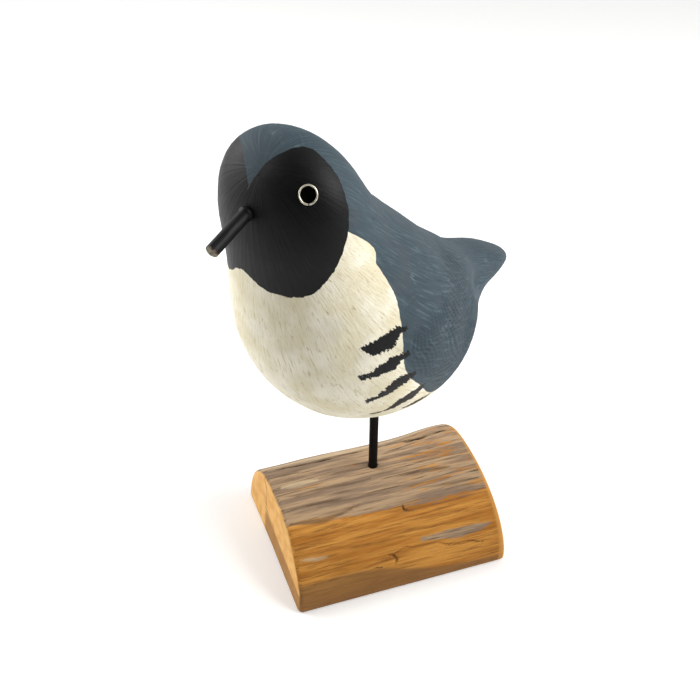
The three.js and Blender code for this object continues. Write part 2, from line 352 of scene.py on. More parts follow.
def bird_field(points):
    """Negative inside the bird and positive outside it."""
    front = blend(ellipsoid_field(points, **TORSO), ellipsoid_field(points, **HEAD), NECK_BLEND)
    body = blend(front, taper_field(points, **RUMP), RUMP_BLEND)
    return blend(body, ellipsoid_field(points, **TAIL), TAIL_BLEND)


def surface_points(origins, directions):
    """Where rays from inside the bird meet its surface."""
    origins, directions = np.broadcast_arrays(np.asarray(origins, float), directions)
    inside = np.zeros(directions.shape[:-1])
    met = np.zeros(inside.shape, bool)
    for _ in range(RAY_REACH):
        ahead = bird_field(origins + directions * (inside + 1)[..., None])
        met |= ahead > 0
        inside = np.where(met, inside, inside + 1)
        if met.all():
            break
    outside = inside + 1
    for _ in range(RAY_HALVINGS):
        middle = (inside + outside) / 2
        within = bird_field(origins + directions * middle[..., None]) < 0
        inside = np.where(within, middle, inside)
        outside = np.where(within, outside, middle)
    return origins + directions * inside[..., None]


def surface_normal(point):
    step = np.eye(3) * 0.05
    return unit(bird_field(point + step) - bird_field(point - step))


def spine_at(share):
    start, middle, end = (np.array(p, float) for p in SPINE)
    share = np.asarray(share, float)[..., None]
    place = (1 - share) ** 2 * start + 2 * share * (1 - share) * middle + share**2 * end
    way = unit((1 - share) * (middle - start) + share * (end - middle))
    return place, way


def heading_vector(heading, rise):
    """A level direction turned to the bird's left, with a rise, in degrees."""
    heading, rise = radians(heading), radians(rise)
    return np.array([math.cos(rise) * math.sin(heading), -math.cos(rise) * math.cos(heading), math.sin(rise)])


def on_head(azimuth, elevation):
    direction = heading_vector(HEAD_TURN + azimuth, elevation)
    return surface_points(np.array(HEAD_CENTRE, float), direction)


def bird_rings():
    """Rings of surface points round the spine, with caps over the head and the tail."""
    side = np.array([1.0, 0, 0])
    origins, ways = spine_at(np.linspace(0, 1, BODY_RINGS))
    ups = np.cross(side, ways)

    def span(directions):
        ends = surface_points(origins, directions) - surface_points(origins, -directions)
        return length_of(ends) / 2

    width = span(np.broadcast_to(side, ways.shape))
    height = span(ups)
    angle = -np.linspace(0, 2 * np.pi, RING_POINTS, endpoint=False)[:, None]

    def ring(i, lift, reach):
        flat = np.sin(angle) * width[i] * side + np.cos(angle) * height[i] * ups[i]
        return surface_points(origins[i], unit(math.cos(lift) * flat + math.sin(lift) * reach * ways[i]))

    head_end = surface_points(origins[0], -ways[0])
    tail_end = surface_points(origins[-1], ways[-1])
    head_reach = length_of(head_end - origins[0])
    tail_reach = length_of(tail_end - origins[-1])
    lifts = [math.pi / 2 * i / (CAP_RINGS + 1) for i in range(1, CAP_RINGS + 1)]
    rings = [ring(0, -lift, head_reach) for lift in reversed(lifts)]
    rings += [ring(i, 0, 0) for i in range(BODY_RINGS)]
    rings += [ring(BODY_RINGS - 1, lift, tail_reach) for lift in lifts]
    return np.array(rings), head_end, tail_end


def body_coordinates(points):
    """For brush marks and grain: place round the body and along it, in millimetres."""
    stations = 400
    origins, ways = spine_at(np.linspace(0, 1, stations))
    steps = length_of(np.diff(origins, axis=0))
    travelled = np.concatenate([[0], np.cumsum(steps)])
    nearest = np.empty(len(points), int)
    for part in np.array_split(np.arange(len(points)), 40):
        gaps = np.abs(np.einsum("psc,sc->ps", points[part, None] - origins[None], ways))
        aside = length_of(points[part, None] - origins[None])
        nearest[part] = (gaps * 3 + aside).argmin(1)
    offset = points - origins[nearest]
    way = ways[nearest]
    along = travelled[nearest] + (offset * way).sum(-1)
    up = np.cross((1.0, 0, 0), way)
    angle = np.arctan2(offset[:, 0], (offset * up).sum(-1))
    mean_radius = 26
    return np.stack([np.cos(angle) * mean_radius, np.sin(angle) * mean_radius, along], -1)


# Where the paint's edges run: distances in millimetres, positive inside


def cheek_depth(points, side, azimuth, elevation, outline):
    middle = heading_vector(HEAD_TURN + side * azimuth, elevation)
    back = side * unit(np.cross((0, 0, 1.0), middle))
    crown = side * np.cross(middle, back)
    offset = points - np.array(HEAD_CENTRE, float)
    radius = length_of(offset)
    direction = unit(offset)
    angle = np.degrees(np.arccos(np.clip(direction @ middle, -1, 1)))
    clock = np.degrees(np.arctan2(direction @ crown, direction @ back)) % 360
    first, last = outline[0], outline[-1]
    closed = [(last[0] - 360, last[1]), *outline, (first[0] + 360, first[1])]
    return radians(curve_value(closed, clock) - angle) * radius


def mask_depth(points):
    """The two cheek patches meet in a soft curve under the beak and in a sharp notch above it."""
    left, right = (cheek_depth(points, **cheek) for cheek in CHEEKS)
    soft = TINY + CHIN_BLEND * smooth_step(150 - points[:, 2], 0, 6)
    return -blend(-left, -right, soft)


def cape_depth(points):
    y, z = points[:, 1] - CAPE_CENTRE[0], points[:, 2] - CAPE_CENTRE[1]
    clock = np.degrees(np.arctan2(-z, -y))
    seen_from_side = curve_value(CAPE_OUTLINE, clock) - np.hypot(y, z)
    return np.maximum(seen_from_side, points[:, 2] - CROWN_HEIGHT)


def bar_depth(points):
    mirrored = points * (-1, 1, 1)
    depth = np.full(len(points), -20.0)
    for bar in BARS:
        path, widths = np.array(bar)[:, :3], np.array(bar)[:, 3]
        for place in (points, mirrored):
            away, share = path_distance(place, path)
            half = np.interp(share * (len(bar) - 1), np.arange(len(bar)), widths) / 2 + BAR_SPREAD
            depth = np.maximum(depth, half - away)
    return depth


# Carved relief of the bird


def fan_coordinates(points):
    """Angle in the wing's fan, in degrees with its closing taken out, and distance from its centre."""
    y, z = points[:, 1] - FAN_CENTRE[0], FAN_CENTRE[1] - points[:, 2]
    away = np.hypot(y, z)
    angle = np.degrees(np.arctan2(y, z))
    closing = np.clip((away - FAN_CLOSING["start"]) / FAN_CLOSING["length"], 0, FAN_CLOSING["most"])
    return (angle - FAN_CLOSING["angle"] * closing) / (1 - closing), away


def wing_grooves(points):
    """How deep the wing is grooved at each point, from 0 to 1."""
    angle, away = fan_coordinates(points)
    wander = roughness_at(points, 11, 1) * 1.1 + roughness_at(points, 4.5, 2) * 0.35
    wave = 0.5 + 0.5 * np.cos(2 * np.pi * (angle / FAN_PITCH + wander))
    uneven = 0.55 + 0.45 * smooth_step(roughness_at(points, (7, 7, 16), 3), -0.5, 0.5)
    starts = smooth_step(away + roughness_at(points, 6, 4) * 9, 16, 30)
    on_wing = smooth_step(cape_depth(points), 0.6, 4)
    sideways = smooth_step(np.abs(points[:, 0]), 6, 17)
    in_fan = smooth_step(angle, -48, -30) * (1 - smooth_step(angle, 44, 62))
    return wave**1.5 * uneven * starts * on_wing * sideways * in_fan


def carving_relief(points, body, grooves):
    """Millimetres above the smooth form: knife work, lengthwise grain and the wing's grooves."""
    knife = roughness_at(points, 8, 5) * 0.13 + roughness_at(points, 3.2, 6) * 0.035
    grain = roughness_at(body, (1.3, 1.3, 9), 7) * 0.035
    cream = smooth_step(-cape_depth(points), 0, 1) * smooth_step(-mask_depth(points), 0, 1)
    chips = np.maximum(roughness_at(body, (1.6, 1.6, 4.5), 8) - 0.25, 0) * 0.16 * cream
    return knife + grain - chips - grooves * GROOVE_DEPTH - SKIN_INSET


# Shader helpers


def colour(code):
    """Linear RGBA from a six-digit display colour."""
    parts = [int(code[i : i + 2], 16) / 255 for i in (0, 2, 4)]
    linear = [c / 12.92 if c <= 0.04045 else ((c + 0.055) / 1.055) ** 2.4 for c in parts]
    return (*linear, 1)


class Shader:
    """A material whose nodes are made by short calls. A value is a number, a tuple or a socket."""

    def __init__(self, name, **settings):
        self.material = bpy.data.materials.new(name)
        self.material.use_nodes = True
        self.nodes = self.material.node_tree.nodes
        self.links = self.material.node_tree.links
        self.surface = self.nodes["Principled BSDF"]
        for socket, value in settings.items():
            self.surface.inputs[socket.replace("_", " ")].default_value = value

    def put(self, socket, value):
        if isinstance(value, bpy.types.NodeSocket):
            self.links.new(value, socket)
        else:
            socket.default_value = value

    def node(self, kind, **settings):
        made = self.nodes.new(kind)
        for name, value in settings.items():
            setattr(made, name, value)
        return made

    def millimetres(self):
        place = self.node("ShaderNodeTexCoord").outputs["Object"]
        return self.stretched(place, (1 / MM,) * 3)

    def attribute(self, name, output="Fac"):
        return self.node("ShaderNodeAttribute", attribute_name=name).outputs[output]

    def stretched(self, vector, scale):
        made = self.node("ShaderNodeMapping")
        self.put(made.inputs["Vector"], vector)
        made.inputs["Scale"].default_value = scale
        return made.outputs["Vector"]

    def noise(self, vector, size, detail=3.0, rough=0.5, twist=0.0):
        """Noise from about 0.2 to 0.8. Size is a length in the vector's unit, or three."""
        lengths = size if isinstance(size, tuple) else (size,) * 3
        made = self.node("ShaderNodeTexNoise")
        self.put(made.inputs["Vector"], self.stretched(vector, tuple(1 / s for s in lengths)))
        for socket, value in (("Scale", 1.0), ("Detail", detail), ("Roughness", rough), ("Distortion", twist)):
            made.inputs[socket].default_value = value
        return made.outputs["Fac"]

    def maths(self, operation, a, b=0.0):
        made = self.node("ShaderNodeMath", operation=operation)
        self.put(made.inputs[0], a)
        self.put(made.inputs[1], b)
        return made.outputs[0]

    def rise(self, value, low, high, smooth=True):
        """0 below low, 1 above high, and the other way round if low is the larger."""
        made = self.node("ShaderNodeMapRange", interpolation_type="SMOOTHSTEP" if smooth else "LINEAR")
        self.put(made.inputs["Value"], value)
        made.inputs["From Min"].default_value = min(low, high)
        made.inputs["From Max"].default_value = max(low, high)
        made.inputs["To Min"].default_value = 0.0 if low < high else 1.0
        made.inputs["To Max"].default_value = 1.0 if low < high else 0.0
        return made.outputs["Result"]

    def mix(self, share, a, b, kind="MIX"):
        made = self.node("ShaderNodeMix", data_type="RGBA", blend_type=kind)
        self.put(made.inputs["Factor"], share)
        self.put(made.inputs["A"], a)
        self.put(made.inputs["B"], b)
        return made.outputs["Result"]

    def mixed(self, share, a, b):
        """Mixes two numbers."""
        made = self.node("ShaderNodeMix", data_type="FLOAT")
        self.put(made.inputs["Factor"], share)
        self.put(made.inputs["A"], a)
        self.put(made.inputs["B"], b)
        return made.outputs["Result"]

    def bump(self, heights):
        """Adds up (height, millimetres) pairs into one bump."""
        normal = None
        for height, depth in heights:
            made = self.node("ShaderNodeBump")
            made.inputs["Strength"].default_value = 1.0
            made.inputs["Distance"].default_value = depth * MM
            self.put(made.inputs["Height"], height)
            if normal:
                self.put(made.inputs["Normal"], normal)
            normal = made.outputs["Normal"]
        self.put(self.surface.inputs["Normal"], normal)


def dress(piece, shader, slot, *nodes):
    piece.data.materials.clear()
    piece.data.materials.append(shader.material)
    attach(piece, "root")
    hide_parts(*nodes)


# Materials of the bird


def slate_paint(s, place, body, fan):
    """Grey-blue paint with brushed streaks and pale scuffs, darker down in its carved grooves."""
    groove = s.attribute("groove")
    tone = s.mix(s.noise(place, 16), colour("33414A"), colour("435056"))
    streak = s.noise(body, (0.5, 0.5, 7), 4, 0.6)
    tone = s.mix(s.rise(streak, 0.48, 0.75), tone, colour("52626A"))
    tone = s.mix(s.rise(streak, 0.42, 0.25), tone, colour("2C3840"))
    fan_streak = s.noise(fan, (1.0, 9, 1), 3, 0.6)
    on_fan = s.attribute("wing")
    pale_streak = s.maths("MULTIPLY", s.rise(fan_streak, 0.55, 0.72), on_fan)
    tone = s.mix(s.maths("MULTIPLY", pale_streak, 0.25), tone, colour("5F6F76"))
    warm = s.rise(s.noise(place, 9, 2, 0.5, 0.6), 0.52, 0.72)
    tone = s.mix(s.maths("MULTIPLY", warm, 0.35), tone, colour("4A4B50"))
    scuff = s.maths("MULTIPLY", s.noise(body, (0.28, 0.28, 1.8), 5, 0.7), s.noise(place, 5, 2))
    tone = s.mix(s.rise(scuff, 0.37, 0.5), tone, colour("728085"))
    # Darker down in the carved grooves, by the groove depth.
    return s.mix(s.maths("MULTIPLY", groove, 0.8), tone, colour("1C262D"))


def cream_paint(s, place, body):
    """Off-white paint over grain, with brown in its pits."""
    tone = s.mix(s.rise(s.noise(place, 9, 3), 0.35, 0.65), colour("E3DABD"), colour("F2ECD9"))
    fine = s.noise(body, (0.32, 0.32, 3.2), 4, 0.65)
    tone = s.mix(s.rise(fine, 0.5, 0.25), tone, colour("C9BB93"))
    pit = s.noise(body, (0.55, 0.55, 2.0), 5, 0.62, 0.3)
    patchy = s.rise(s.noise(place, 12, 2), 0.35, 0.62)
    brown = s.maths("MULTIPLY", s.rise(pit, 0.58, 0.74), s.mixed(patchy, 0.25, 0.8))
    tone = s.mix(brown, tone, colour("9C7F57"))
    grey = s.rise(s.noise(place, 14, 2, 0.5), 0.55, 0.7)
    return s.mix(s.maths("MULTIPLY", grey, 0.3), tone, colour("C6C3B2"))


def black_paint(s, place, body):
    """Black paint that shows its brush strokes, with painted sheen: some strokes lightened towards grey."""
    stroke = s.noise(body, (0.45, 0.45, 4), 4, 0.6)
    tone = s.mix(s.noise(place, 8), colour("020303"), colour("060707"))
    # Painted sheen: a lighter grey laid along some of the brush strokes.
    stroke_sheen = s.maths("MULTIPLY", s.rise(stroke, 0.5, 0.75), s.rise(s.noise(place, 7, 2), 0.45, 0.62))
    return s.mix(s.maths("MULTIPLY", stroke_sheen, 0.5), tone, colour("1F2324"))


def feathered_bars(s, body, place):
    """How much black a flank bar has here: its edges end in short brush tips."""
    tips = s.noise(body, (0.4, 0.4, 2.4), 3, 0.6)
    broken = s.noise(place, 0.9, 4, 0.65)
    edge = s.maths("ADD", s.attribute("bars"), s.maths("MULTIPLY", tips, 3.0))
    edge = s.maths("ADD", edge, s.maths("MULTIPLY", broken, 1.6))
    return s.rise(edge, 2.2, 2.4)


def painted_carving():
    s = Shader("painted_carving", Specular_IOR_Level=0.2)
    place = s.millimetres()
    body = s.attribute("body", "Vector")
    fan = s.attribute("fan", "Vector")
    wobble = s.maths("SUBTRACT", s.noise(place, 2.2, 3, 0.55), 0.5)
    mask_edge = s.maths("ADD", s.attribute("mask"), s.maths("MULTIPLY", wobble, 0.9))
    cape_edge = s.maths("ADD", s.attribute("cape"), s.maths("MULTIPLY", wobble, 0.8))
    in_mask = s.rise(mask_edge, -0.07, 0.07)
    in_cape = s.rise(cape_edge, -0.09, 0.09)
    in_bar = feathered_bars(s, body, place)
    black = black_paint(s, place, body)
    tone = s.mix(in_cape, cream_paint(s, place, body), slate_paint(s, place, body, fan))
    tone = s.mix(in_bar, tone, black)
    tone = s.mix(in_mask, tone, black)
    s.put(s.surface.inputs["Base Color"], tone)
    dark = s.maths("MAXIMUM", in_mask, in_bar)
    stroke = s.noise(body, (0.5, 0.5, 4), 4, 0.6)
    s.put(s.surface.inputs["Roughness"], s.mixed(dark, 0.68, s.mixed(stroke, 0.4, 0.62)))
    pits = s.noise(body, (0.5, 0.5, 2.2), 5, 0.65)
    on_cream = s.maths("SUBTRACT", 1.0, s.maths("MAXIMUM", in_cape, in_mask))
    s.bump([
        (s.noise(body, (0.35, 0.35, 3), 4, 0.6), 0.045),
        (s.maths("MULTIPLY", pits, on_cream), 0.2),
        (s.noise(place, 0.5, 3), 0.02),
    ])
    return s


def ring_metal():
    """Bright soft metal, tarnished brown down inside the tube."""
    s = Shader("eye_metal", Metallic=1.0)
    place = s.millimetres()
    z = s.node("ShaderNodeSeparateXYZ")
    s.put(z.inputs[0], place)
    inside = s.rise(z.outputs["Z"], -0.1, -0.9)
    bright = s.mix(s.noise(place, 0.5), colour("F5EFDC"), colour("E2DAC4"))
    s.put(s.surface.inputs["Base Color"], s.mix(inside, bright, colour("4A3320")))
    s.put(s.surface.inputs["Roughness"], s.mixed(s.noise(place, 0.3), 0.28, 0.5))
    s.bump([(s.noise(place, 0.25, 3), 0.012)])
    return s


def beak_paint():
    """Black paint on a stick, rubbed through to grey wood at its end."""
    s = Shader("beak_stick", Specular_IOR_Level=0.2)
    place = s.millimetres()
    z = s.node("ShaderNodeSeparateXYZ")
    s.put(z.inputs[0], place)
    stroke = s.noise(place, (0.4, 0.4, 3), 4, 0.6)
    black = s.mix(s.rise(stroke, 0.5, 0.75), colour("030404"), colour("121313"))
    ragged = s.maths("MULTIPLY", s.noise(place, 0.8, 4, 0.6), 1.6)
    worn = s.rise(s.maths("ADD", z.outputs["Z"], ragged), 13.3, 13.9)
    wood = s.mix(s.noise(place, 0.6), colour("6B675A"), colour("A49C86"))
    spot = s.rise(s.noise(place, 1.1, 2, 0.5), 0.56, 0.68)
    wood = s.mix(s.maths("MULTIPLY", spot, 0.7), wood, colour("8A4F3C"))
    s.put(s.surface.inputs["Base Color"], s.mix(worn, black, wood))
    s.put(s.surface.inputs["Roughness"], s.mixed(worn, 0.5, 0.8))
    s.bump([(stroke, 0.05), (s.noise(place, 0.3, 3), 0.02)])
    return s


def rod_paint():
    s = Shader("black_rod", Specular_IOR_Level=0.1)
    place = s.millimetres()
    brushed = s.noise(place, (0.3, 0.3, 6), 3, 0.6)
    s.put(s.surface.inputs["Base Color"], s.mix(brushed, colour("020202"), colour("060606")))
    s.put(s.surface.inputs["Roughness"], s.mixed(brushed, 0.42, 0.6))
    s.bump([(brushed, 0.02)])
    return s


def driftwood():
    """Sawn driftwood: weathered grey on its back, honey brown below, pale on the cut ends."""
    s = Shader("driftwood", Specular_IOR_Level=0.2)
    place = s.millimetres()
    broad = s.noise(place, (34, 2.6, 2.6), 4, 0.6)
    fine = s.noise(place, (18, 0.8, 0.8), 5, 0.65)
    hair = s.noise(place, (8, 0.22, 0.22), 3, 0.6)
    honey = s.mix(s.rise(broad, 0.36, 0.64), colour("A76A24"), colour("C98D3F"))
    honey = s.mix(s.rise(fine, 0.52, 0.32), honey, colour("8C5A24"))
    grey = s.mix(s.rise(broad, 0.38, 0.6), colour("86705C"), colour("AC9070"))
    grey = s.mix(s.rise(fine, 0.5, 0.32), grey, colour("5E4A38"))
    ragged = s.maths("MULTIPLY", s.maths("SUBTRACT", s.noise(place, (16, 1.8, 1.8), 4, 0.65), 0.5), 2.4)
    weathered = s.rise(s.maths("ADD", s.attribute("weather"), ragged), 0.35, 0.7)
    tone = s.mix(weathered, honey, grey)
    tone = s.mix(s.maths("MULTIPLY", s.attribute("brown"), 0.7), tone, colour("7B5934"))
    tone = s.mix(s.maths("MULTIPLY", s.attribute("dark"), 0.7), tone, colour("5B4735"))
    tone = s.mix(s.maths("MULTIPLY", s.attribute("pale"), 0.6), tone, colour("CBB694"))
    tone = s.mix(s.maths("MULTIPLY", s.rise(hair, 0.5, 0.3), 0.35), tone, colour("4C351F"))
    grown = s.noise(place, (1.2, 4, 4), 3, 0.5)
    cut = s.mix(s.rise(grown, 0.35, 0.65), colour("D39A4E"), colour("E2B068"))
    # Darker along the check on the left cut end, and painted shade over that end's lower part.
    cut = s.mix(s.maths("MULTIPLY", s.attribute("end_check_and_shade"), 0.75), cut, colour("8A5C2A"))
    sawn_edge = s.maths("MULTIPLY", s.attribute("strip"), 0.8)
    tone = s.mix(sawn_edge, tone, colour("C08A45"))
    tone = s.mix(s.attribute("end"), tone, cut)
    # Near-black in the cracks; in the drill hole the same near-black is painted shade round the rod.
    tone = s.mix(s.attribute("crack"), tone, colour("2A1D12"))
    s.put(s.surface.inputs["Base Color"], tone)
    s.put(s.surface.inputs["Roughness"], s.mixed(s.attribute("end"), s.mixed(fine, 0.85, 0.6), 0.6))
    s.bump([(s.mixed(s.attribute("end"), fine, 0.5), 0.25), (hair, 0.06), (s.noise(place, 0.4, 3), 0.03)])
    return s


# Pieces of the bird


def eye_egg(angles):
    """A ring a little higher than wide, and narrower at the top. Angle 0 is its lowest point."""
    return 1 + EYE_EGG * (np.cos(2 * angles) + 0.5 * np.cos(angles) - 0.5)


def eye_placing(side):
    centre = on_head(*EYES[side])
    return standing_on(centre, surface_normal(centre), down=(0, 0, -1))


def carve_bird():
    points, faces = closed_skin(*bird_rings())
    bird = new_piece("songbird", points, faces)
    smooth = read_points(bird.data)
    push_out(bird.data, carving_relief(smooth, body_coordinates(smooth), wing_grooves(smooth)))
    cutters = []
    for side in EYES:
        stations = [(z, EYE["radius"] - 0.06) for z in (-EYE["recess"], EYE["recess"])]
        cutters.append(round_bar("eye_cutter", stations, 72, eye_placing(side), eye_egg))
    cut_with(bird, cutters)
    mesh = bird.data
    carved = read_points(mesh)
    body = body_coordinates(carved)
    angle, away = fan_coordinates(carved)
    grooves = wing_grooves(carved)
    in_eye = np.zeros(len(carved), bool)
    for side in EYES:
        placing = eye_placing(side)
        in_eye |= length_of(carved - np.array(placing.translation) / MM) < EYE["radius"] + EYE["recess"]
    store(mesh, "mask", np.where(in_eye, 3.0, mask_depth(carved)))
    store(mesh, "cape", cape_depth(carved))
    store(mesh, "bars", bar_depth(carved))
    store(mesh, "groove", grooves)
    store(mesh, "wing", smooth_step(away, 12, 28) * smooth_step(cape_depth(carved), 0, 4))
    store(mesh, "body", body)
    store(mesh, "fan", np.stack([angle, away, np.sign(carved[:, 0]) * 40], -1))
    dress(bird, painted_carving(), "painted_carving", "bird_body")


def eye_ring(side, shader):
    """A strip rolled into a short tube with a rounded lip and an open seam at the bottom."""
    lip = EYE["wall"] / 2
    middle = EYE["radius"] - lip
    arc = np.linspace(0, np.pi, 13)
    lip_points = [(middle + lip * math.cos(a), EYE["proud"] - lip + lip * math.sin(a)) for a in arc]
    bottom = 0.3 - EYE["recess"]
    profile = np.array([(EYE["radius"], bottom), *lip_points, (EYE["radius"] - EYE["wall"], bottom)])
    seam = radians(EYE_SEAM / 2)
    angles = np.linspace(seam, 2 * np.pi - seam, 97)
    shape = eye_egg(angles)[:, None]
    rings = np.stack([
        shape * profile[:, 0] * np.cos(angles)[:, None],
        shape * profile[:, 0] * np.sin(angles)[:, None],
        np.broadcast_to(profile[:, 1], (len(angles), len(profile))),
    ], -1)
    points, faces = closed_skin(rings, rings[0].mean(0), rings[-1].mean(0))
    ring = new_piece(f"eye_tube_{side}", points, faces, eye_placing(side))
    ring.data.set_sharp_from_angle(angle=math.radians(50))
    dress(ring, shader, "eye_metal", f"eye_ring_{side}")


def beak():
    """A stick pushed into the face: paint gathered at its root, and its end worn round."""
    root = on_head(0, BEAK["elevation"])
    way = heading_vector(BEAK["heading"], BEAK["slope"])
    radius, reach, worn = BEAK["radius"], BEAK["reach"], BEAK_WEAR
    stations = [(-BEAK["root"], radius)]
    stations += [(z, radius + 0.3 * math.exp(-(((z - 0.1) / 0.6) ** 2))) for z in np.linspace(-1.5, 2.5, 17)]
    stations += [(z, radius) for z in np.linspace(3, reach - worn, 30)]
    turn = np.linspace(0, np.pi / 2, 9)[1:]
    stations += [(reach - worn + worn * math.sin(a), radius - worn + worn * math.cos(a)) for a in turn]
    stations += [(reach - 0.08 * (1 - k) ** 2, (radius - worn) * k) for k in (0.75, 0.5, 0.25)]
    stick = round_bar("beak_stick", stations, 56, standing_on(root, way))
    points = read_points(stick.data)
    out = smooth_step(points[:, 2], 0.5, 3)
    cuts = roughness_at(points, (1.6, 1.6, 5), 11) * 0.1 * out
    push_out(stick.data, cuts - 0.06 * out)
    stick.data.set_sharp_from_angle(angle=math.radians(60))
    dress(stick, beak_paint(), "beak_stick", "beak")


def rod():
    stations = [(z, ROD_RADIUS) for z in np.linspace(ROD_BOTTOM, ROD_TOP, 64)]
    bar = round_bar("steel_rod", stations, 48, Matrix.Identity(4))
    bar.data.set_sharp_from_angle(angle=math.radians(60))
    dress(bar, rod_paint(), "black_rod", "rod")


# The driftwood


def log_section():
    """The log's section from its front foot over the crown to its back foot, evenly spaced."""
    rise = LOG["height"] - EDGE_EASE
    quarter = np.linspace(np.pi / 2, 0, 12)
    front = [(LOG["crown"] - LOG["front"] + EDGE_EASE * (1 - math.cos(a)), EDGE_EASE * (1 - math.sin(a))) for a in quarter]
    back = [(LOG["crown"] + LOG["back"] - EDGE_EASE * (1 - math.cos(a)), EDGE_EASE * (1 - math.sin(a))) for a in quarter[::-1]]
    arch = []
    for angle in np.linspace(0, np.pi, 400):
        is_front = angle < np.pi / 2
        reach = -LOG["front"] if is_front else LOG["back"]
        power = 2 / (FRONT_ROUNDNESS if is_front else BACK_ROUNDNESS)
        out = abs(math.cos(angle)) ** power * reach
        arch.append((LOG["crown"] + out, EDGE_EASE + rise * max(math.sin(angle), 0) ** power))
    outline = np.array([*front, *arch, *back])
    travelled = np.concatenate([[0], np.cumsum(length_of(np.diff(outline, axis=0)))])
    even = np.linspace(0, travelled[-1], ARCH_POINTS)
    over = np.stack([np.interp(even, travelled, outline[:, i]) for i in (0, 1)], -1)
    under = np.linspace(over[-1], over[0], UNDERSIDE_POINTS + 2)[1:-1]
    return np.vstack([over, under])


def swell_at(along, across):
    rises = [rise * np.exp(-((along - x) ** 2 + (across - y) ** 2) / width**2) for x, y, width, rise in SWELLS]
    return sum(rises)


def log_rings():
    section = log_section()
    heart = np.array(SECTION_HEART, float)
    offset = section - heart
    away = length_of(offset)
    skew, lean = math.tan(radians(SAW_SKEW)), math.tan(radians(LEFT_SAW_LEAN))

    def ring(share, keep, inwards):
        y, z = (heart + offset * keep[:, None]).T
        left = LOG["middle"] - LOG["length"] / 2 + lean * z
        right = LOG["middle"] + LOG["length"] / 2
        x = left + (right - left) * share + inwards - skew * y
        return np.stack([x, y, z + swell_at(x, y) * np.maximum(z / LOG["height"], 0)], -1)

    def end(share, sign):
        edge = 1 - EDGE_EASE / away
        rings = [ring(share, edge * k, 0) for k in np.linspace(0, 1, LOG_END_RINGS + 1)[1:]]
        for angle in np.linspace(0, np.pi / 2, LOG_EASE_RINGS + 1)[1:-1]:
            inset = EDGE_EASE * (1 - math.sin(angle))
            rings.append(ring(share, 1 - inset / away, sign * EDGE_EASE * (1 - math.cos(angle))))
        return rings

    barrel = [ring(t, np.ones_like(away), EDGE_EASE * (1 - 2 * t)) for t in np.linspace(0, 1, LOG_RINGS)]
    rings = [*end(0, 1), *barrel, *reversed(end(1, -1))]
    poles = [ring(share, np.zeros_like(away), 0)[0] for share in (0, 1)]
    return np.array(rings), *poles


def log_zones(points, normals):
    """How far each point belongs to the cut ends, to the arch and to the weathered back, 0 to 1."""
    end = smooth_step(np.abs(normals[:, 0]), 0.55, 0.9)
    arch = (1 - end) * smooth_step(points[:, 2], 0.2, 2)
    front_edge = curve_value([(-45, -15), (-33, -15.4), (-3, -17.4), (18, -19), (45, -19)], points[:, 0])
    weather = smooth_step(points[:, 1] - front_edge, -1.5, 2.5)
    honey_side = smooth_step(points[:, 0], -2, 20) * 0.3
    return end, arch, weather * (1 - honey_side)


def stained(points, stains):
    """How strongly soft stains show at each point, from 0 to 1."""
    wander = np.stack([roughness_at(points, (14, 4, 4), seed) for seed in (31, 32, 33)], -1)
    shown = np.zeros(len(points))
    for path, width in stains:
        away, share = path_distance(points + wander, path)
        half = width / 2 * np.sin(np.pi * np.clip(share, 0.08, 0.92)) ** 0.5
        shown = np.maximum(shown, 1 - smooth_step(away, 0.3 * half, 1.5 * half))
    return shown


def crack_at(points):
    """The depth of the cracks in millimetres, and how dark they look, from 0 to 1."""
    wander = np.stack([roughness_at(points, 5, seed) for seed in (21, 22, 23)], -1) * 0.8
    depth = np.zeros(len(points))
    dark = np.zeros(len(points))
    for crack in CRACKS:
        near = length_of(points - np.mean(crack["path"], axis=0)) < 45
        away, share = path_distance(points[near] + wander[near], crack["path"])
        taper = np.sqrt(np.sin(np.pi * np.clip(share, 0.03, 0.97)))
        half = crack["width"] / 2 * taper
        depth[near] = np.maximum(depth[near], crack["depth"] * taper * (1 - smooth_step(away, 0.2 * half, 1.6 * half)))
        dark[near] = np.maximum(dark[near], 1 - smooth_step(away, 0.5 * half, 1.9 * half))
    return depth, dark


def log_relief(points, arch, weather, depth):
    dents = roughness_at(points, (17, 7, 7), 12) * 0.3
    ridges = roughness_at(points, (26, 1.5, 1.5), 13) * 0.17 + roughness_at(points, (12, 0.9, 0.9), 14) * 0.07
    above_floor = smooth_step(points[:, 2], 0.5, 6)
    return arch * (above_floor * (dents + ridges * (0.4 + 0.6 * weather)) - depth) - 0.1 * arch


